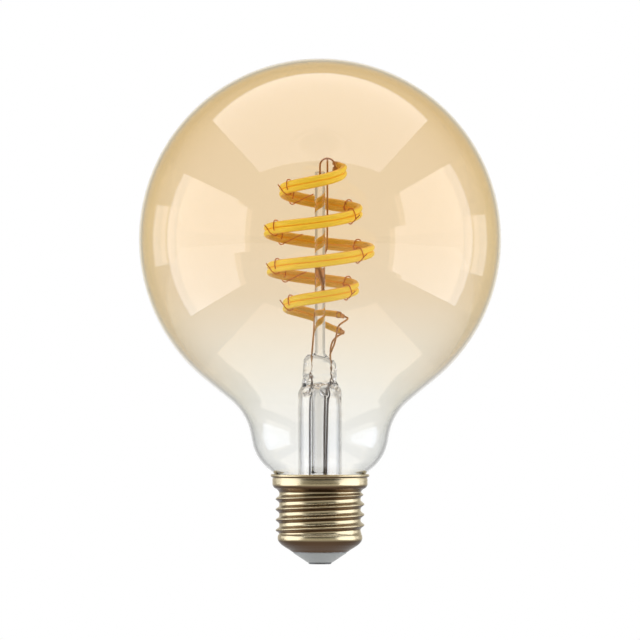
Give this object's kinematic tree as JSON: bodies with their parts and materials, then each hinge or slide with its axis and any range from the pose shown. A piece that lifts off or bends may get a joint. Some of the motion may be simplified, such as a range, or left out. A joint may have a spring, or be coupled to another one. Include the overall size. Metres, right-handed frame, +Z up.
{
  "type": "filament smart light bulb",
  "caption": "Globe light bulb of amber-tinted glass with stacked spiral filaments round a glass post, a clear neck and stem, and a brass screw cap.",
  "frame": {"origin": "centre of the centre contact's lower face, at the bottom of the cap, on the bulb's axis", "axes": "+Z up the bulb's axis from the cap to the top of the globe, -Y towards the side seen in the picture, +X to the right of that view"},
  "size_m": [0.1076, 0.1076, 0.1501],
  "materials": {
    "amber_glass": "clear blown glass, gold tint that fades to clear at the neck",
    "clear_glass": "clear fire-polished glass",
    "aged_brass": "satin, antique brass plating",
    "plated_contact": "dull plated",
    "grey_insulator": "smooth grey glass insulator",
    "cement": "matt",
    "copper_wire": "bare copper-clad wire",
    "filament_silicone": "satin silicone with yellow phosphor",
    "board_green": "solder mask",
    "moulded_black": "moulded epoxy",
    "capacitor_sleeve": "shrink sleeve",
    "resistor_body": "lacquered"
  },
  "bodies": {
    "root": {"aerial_wire": "copper_wire", "bridge_rectifier": "moulded_black", "cap_shell": "aged_brass", "centre_contact": "plated_contact", "centre_contact_wire": "copper_wire", "channel_driver_cool": "moulded_black", "channel_driver_warm": "moulded_black", "driver_board": "board_green", "exhaust_tube": "clear_glass", "filament_lower": "filament_silicone", "filament_upper": "filament_silicone", "filter_choke": "moulded_black", "fusible_resistor": "resistor_body", "glass_envelope": "amber_glass", "insulator": "grey_insulator", "lead_common": "copper_wire", "lead_lower": "copper_wire", "lead_upper": "copper_wire", "neck_cement": "cement", "radio_board": "board_green", "radio_shield": "plated_contact", "side_contact_wire": "copper_wire", "smoothing_capacitor": "capacitor_sleeve", "stem_flare": "clear_glass", "stem_press": "clear_glass", "support_post": "clear_glass", "terminal_foot_lower": "copper_wire", "terminal_foot_upper": "copper_wire", "terminal_top_lower": "copper_wire", "terminal_top_upper": "copper_wire", "tie_back_left_1": "copper_wire", "tie_back_left_2": "copper_wire", "tie_back_left_3": "copper_wire", "tie_back_right_1": "copper_wire", "tie_back_right_2": "copper_wire", "tie_back_right_3": "copper_wire", "tie_front_left_1": "copper_wire", "tie_front_left_2": "copper_wire", "tie_front_left_3": "copper_wire", "tie_front_left_4": "copper_wire", "tie_front_right_1": "copper_wire", "tie_front_right_2": "copper_wire", "tie_front_right_3": "copper_wire", "top_hook": "copper_wire"}
  },
  "joints": []
}
